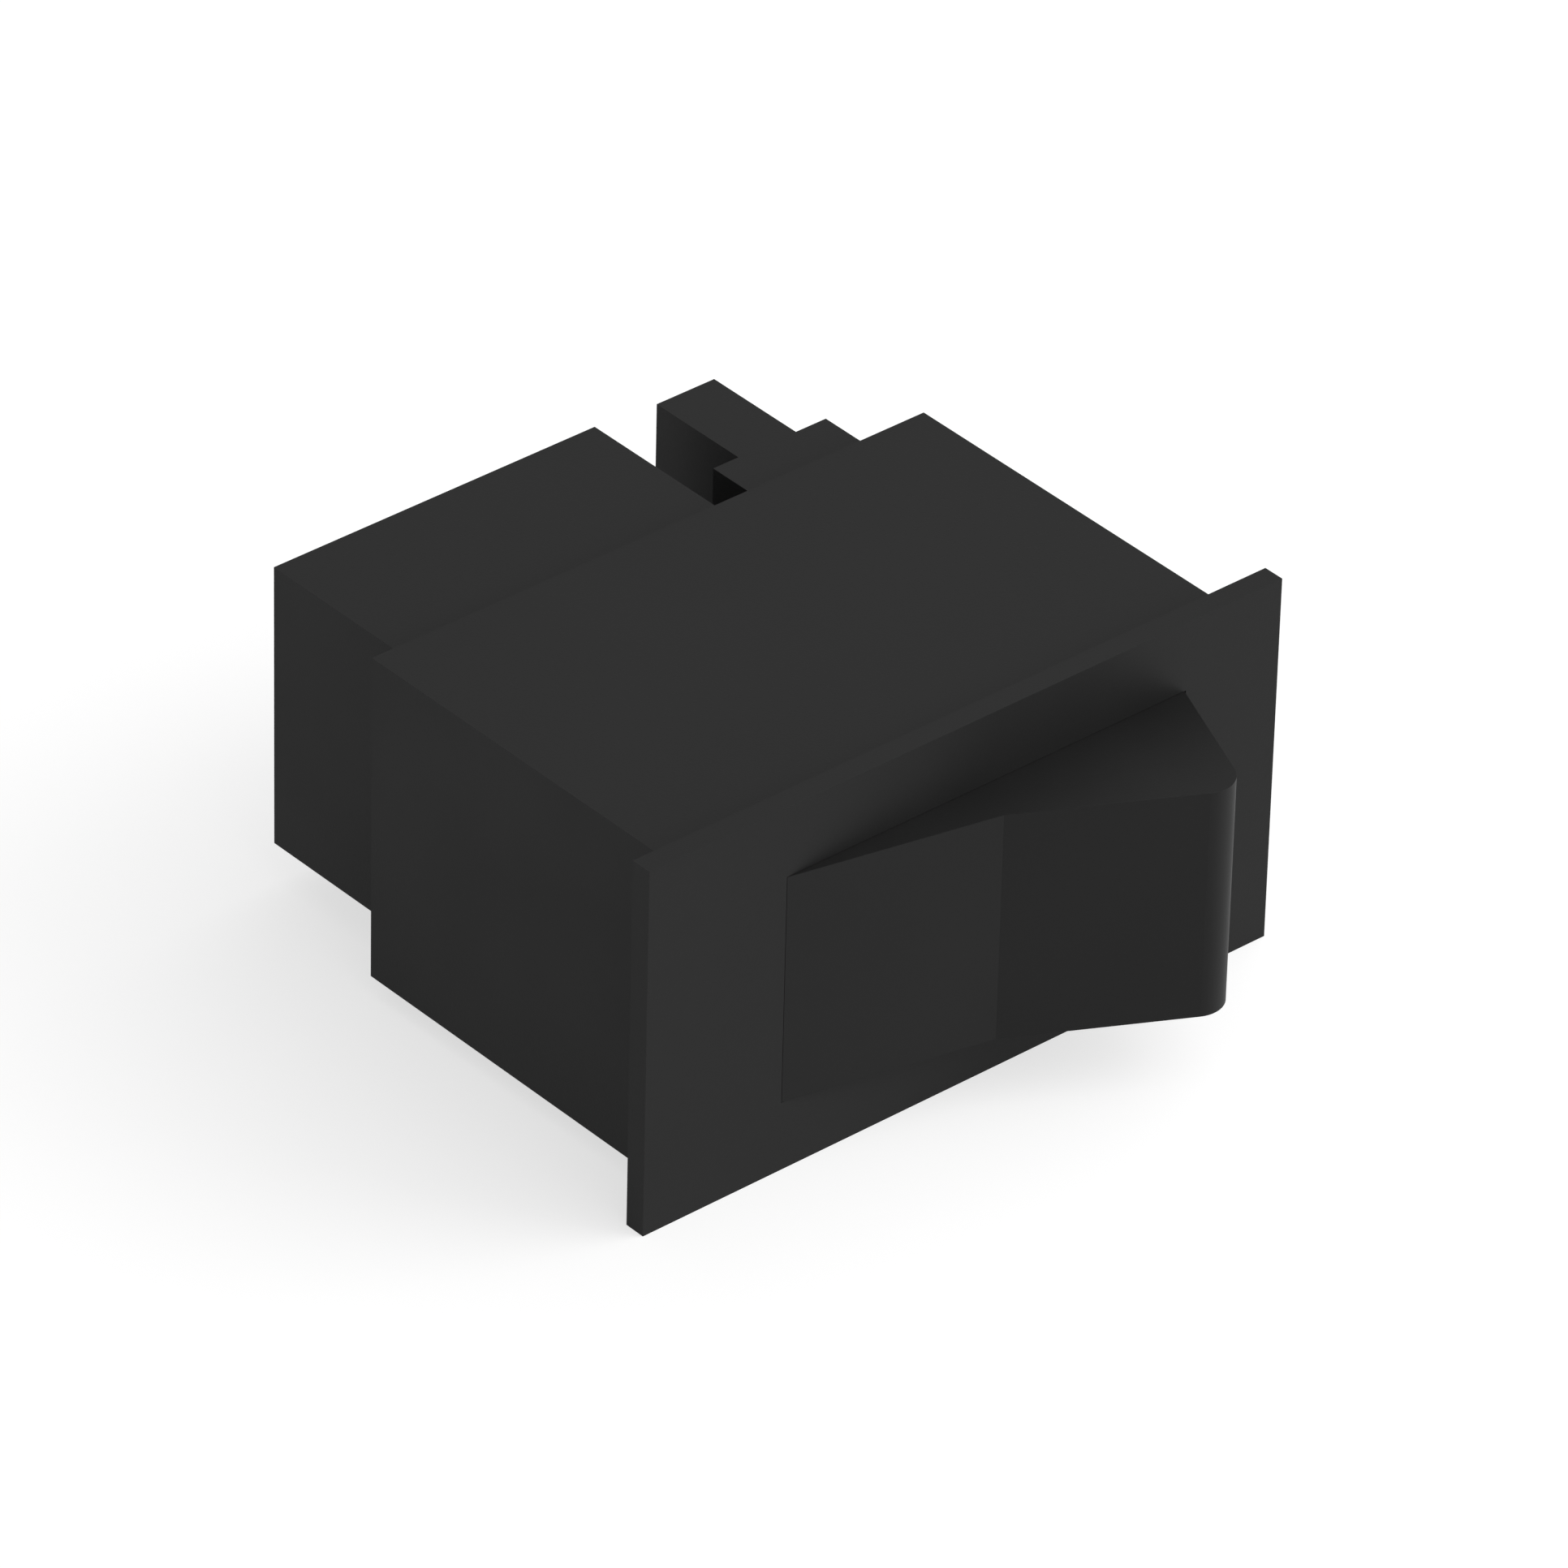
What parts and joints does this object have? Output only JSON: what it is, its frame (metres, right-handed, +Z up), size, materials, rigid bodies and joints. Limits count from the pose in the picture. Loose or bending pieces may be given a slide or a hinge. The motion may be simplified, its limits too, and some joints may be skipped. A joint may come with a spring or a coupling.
{
  "type": "panel-mount rocker switch",
  "caption": "Black panel-mount rocker switch for enabling a saw: flat bezel, tilting rocker, boxed body and a plug socket with a T-shaped lug at the back.",
  "frame": {"origin": "middle of the bezel's rear face, in the plane of the panel's front face", "axes": "X along the bezel towards the rocker's proud end, Y back through the panel, Z up"},
  "size_m": [0.0492, 0.0512, 0.026],
  "materials": {
    "shell_plastic": "moulded black nylon, fine matt texture",
    "rocker_plastic": "moulded black nylon, smooth matt",
    "base_plastic": "moulded black nylon, fine matt texture",
    "pin_steel": "ground steel",
    "spring_steel": "drawn steel wire",
    "plunger_plastic": "natural acetal",
    "arm_copper": "copper alloy strip",
    "saddle_brass": "brass strip",
    "terminal_brass": "tin-plated brass",
    "contact_silver": "silver alloy"
  },
  "bodies": {
    "switch_body": {"bezel_housing": "shell_plastic", "terminal_base": "base_plastic", "pivot_pin": "pin_steel", "load_terminal_upper": "terminal_brass", "common_terminal_upper": "terminal_brass", "fixed_contact_upper": "contact_silver", "arm_saddle_upper": "saddle_brass", "load_terminal_lower": "terminal_brass", "common_terminal_lower": "terminal_brass", "fixed_contact_lower": "contact_silver", "arm_saddle_lower": "saddle_brass"},
    "rocker": {"rocker": "rocker_plastic", "spring_upper": "spring_steel", "spring_lower": "spring_steel"},
    "plunger_upper": {"plunger_upper": "plunger_plastic"},
    "arm_upper": {"contact_arm_upper": "arm_copper", "arm_contact_upper": "contact_silver"},
    "plunger_lower": {"plunger_lower": "plunger_plastic"},
    "arm_lower": {"contact_arm_lower": "arm_copper", "arm_contact_lower": "contact_silver"}
  },
  "joints": [
    {"name": "rocker_tilt", "type": "hinge", "parent": "switch_body", "child": "rocker", "pos_m": [0.00166, -0.00016, 0], "axis": [0, 0, 1], "range_deg": [0, 40.6]},
    {"name": "plunger_upper_slide", "type": "slide", "parent": "rocker", "child": "plunger_upper", "axis": [-0.3469, -0.9379, 0], "range_m": [0, 0.0012], "stiffness_N_per_m": 500, "springref_m": -0.002, "deforming": ["spring_upper"]},
    {"name": "arm_upper_rock", "type": "hinge", "parent": "switch_body", "child": "arm_upper", "pos_m": [0.00166, 0.0227, 0.0038], "axis": [0, 0, 1], "range_deg": [-12.18, 0]},
    {"name": "plunger_lower_slide", "type": "slide", "parent": "rocker", "child": "plunger_lower", "axis": [-0.3469, -0.9379, 0], "range_m": [0, 0.0012], "stiffness_N_per_m": 500, "springref_m": -0.002, "deforming": ["spring_lower"]},
    {"name": "arm_lower_rock", "type": "hinge", "parent": "switch_body", "child": "arm_lower", "pos_m": [0.00166, 0.0227, -0.0038], "axis": [0, 0, 1], "range_deg": [-12.18, 0]}
  ],
  "couplings": [
    {"joint": "arm_upper_rock", "follows": "rocker_tilt", "ratio": -0.3},
    {"joint": "arm_lower_rock", "follows": "rocker_tilt", "ratio": -0.3}
  ]
}
